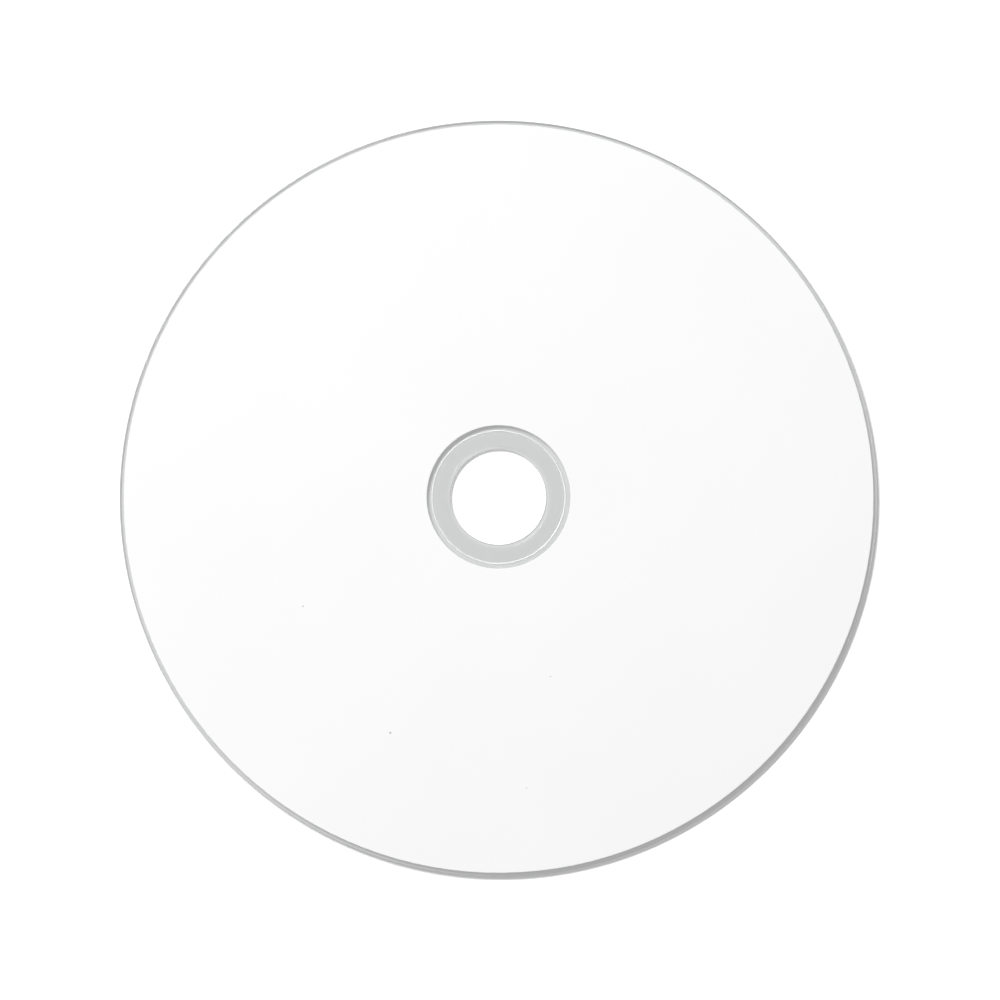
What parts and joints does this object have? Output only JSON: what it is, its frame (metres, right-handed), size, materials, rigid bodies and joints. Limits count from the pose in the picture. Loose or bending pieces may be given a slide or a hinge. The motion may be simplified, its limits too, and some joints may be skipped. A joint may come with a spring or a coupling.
{
  "type": "printable dvd",
  "caption": "Recordable optical disc with a blank white printable face, a clear hub around its centre hole and a clear rim.",
  "frame": {"origin": "on the disc's axis, in the plane that the stacking ring's foot rests on", "axes": "+Z along the disc's axis, from the read side to the white label side; the disc is the same in every direction around it"},
  "size_m": [0.12, 0.12, 0.0014],
  "materials": {
    "clear_polycarbonate": "clear, polished",
    "recording_dye": "violet, glossy behind the clear half",
    "silver_film": "mirror",
    "cured_resin": "clear",
    "white_ink_coat": "fine matte, porous"
  },
  "bodies": {
    "root": {"data_substrate": "clear_polycarbonate", "dye_layer": "recording_dye", "reflective_layer": "silver_film", "bond_layer": "cured_resin", "cover_substrate": "clear_polycarbonate", "print_coating": "white_ink_coat"}
  },
  "joints": []
}
